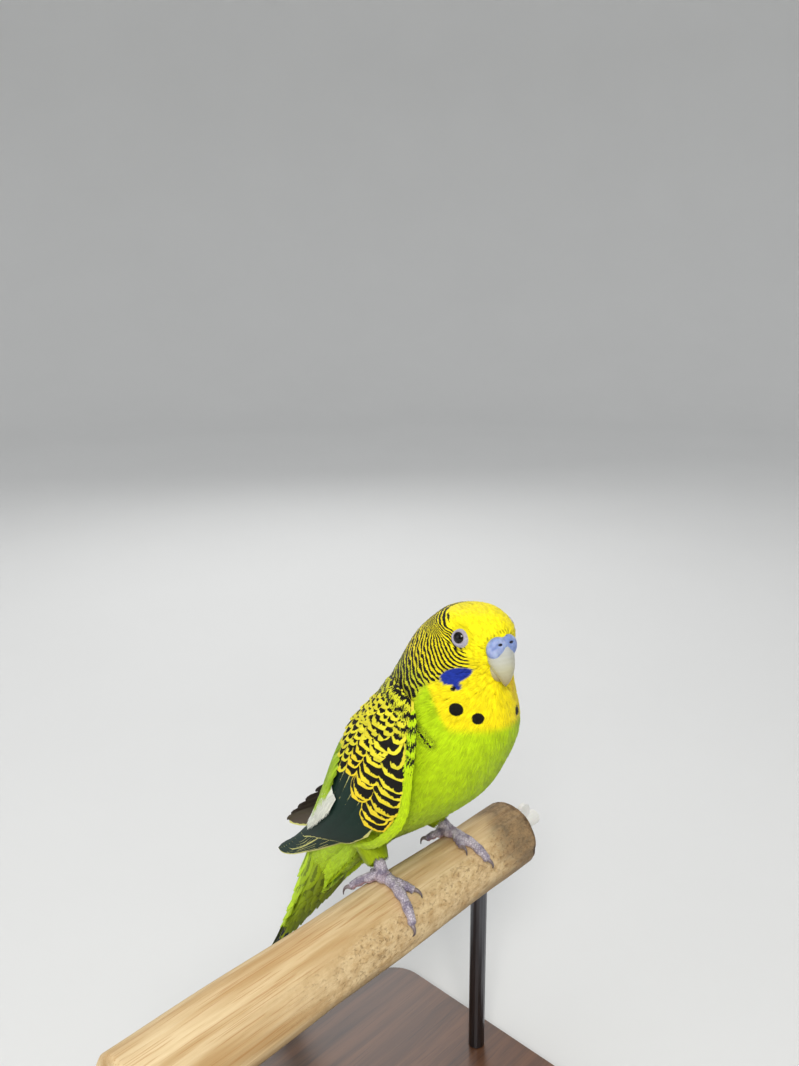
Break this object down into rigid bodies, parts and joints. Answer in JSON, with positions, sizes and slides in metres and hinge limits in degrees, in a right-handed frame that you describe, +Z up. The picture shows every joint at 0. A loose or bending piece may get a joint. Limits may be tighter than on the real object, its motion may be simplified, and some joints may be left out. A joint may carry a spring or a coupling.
{
  "type": "budgerigar",
  "caption": "A life-size adult male budgerigar in green and yellow plumage, gripping a cut length of natural wood on a plain display stand.",
  "frame": {"origin": "middle of the flat underside of the stand's base", "axes": "+Z up, -Z out of the stand's underside; the perch runs along X, the bird faces -Y and its left side is towards +X"},
  "size_m": [0.153, 0.1284, 0.1706],
  "materials": {
    "head_feathers": "matt yellow feathers, barred black behind the eye",
    "neck_feathers": "matt yellow feathers with black scallops, lemon bib with black spots",
    "body_feathers": "matt lime green feathers",
    "wing_feathers": "black feathers with yellow edges, green-black flight feathers",
    "tail_feathers": "yellow-green feathers with blue-black centres",
    "cere_skin": "smooth pale blue skin",
    "bill_horn": "satin olive-grey horn",
    "eye_gloss": "wet black",
    "foot_skin": "scaly grey-pink skin",
    "claw_horn": "satin dark horn",
    "perch_wood": "peeled pale wood, rough",
    "perch_washer_metal": "dark, worn",
    "perch_screw_plastic": "off-white",
    "stand_wood": "dark stained, satin",
    "stand_steel": "black satin"
  },
  "bodies": {
    "root": {"head": "head_feathers", "neck": "neck_feathers", "torso": "body_feathers", "wing_left": "wing_feathers", "wing_right": "wing_feathers", "tail": "tail_feathers", "cere": "cere_skin", "beak_upper": "bill_horn", "beak_lower": "bill_horn", "eye_left": "eye_gloss", "eye_right": "eye_gloss", "leg_left": "foot_skin", "leg_right": "foot_skin", "foot_left": "foot_skin", "foot_right": "foot_skin", "claw_left_1": "claw_horn", "claw_left_2": "claw_horn", "claw_left_3": "claw_horn", "claw_left_4": "claw_horn", "claw_right_1": "claw_horn", "claw_right_2": "claw_horn", "claw_right_3": "claw_horn", "claw_right_4": "claw_horn", "perch": "perch_wood", "perch_washer": "perch_washer_metal", "perch_screw": "perch_screw_plastic", "stand_base": "stand_wood", "stand_rod_near": "stand_steel", "stand_rod_far": "stand_steel"}
  },
  "joints": []
}
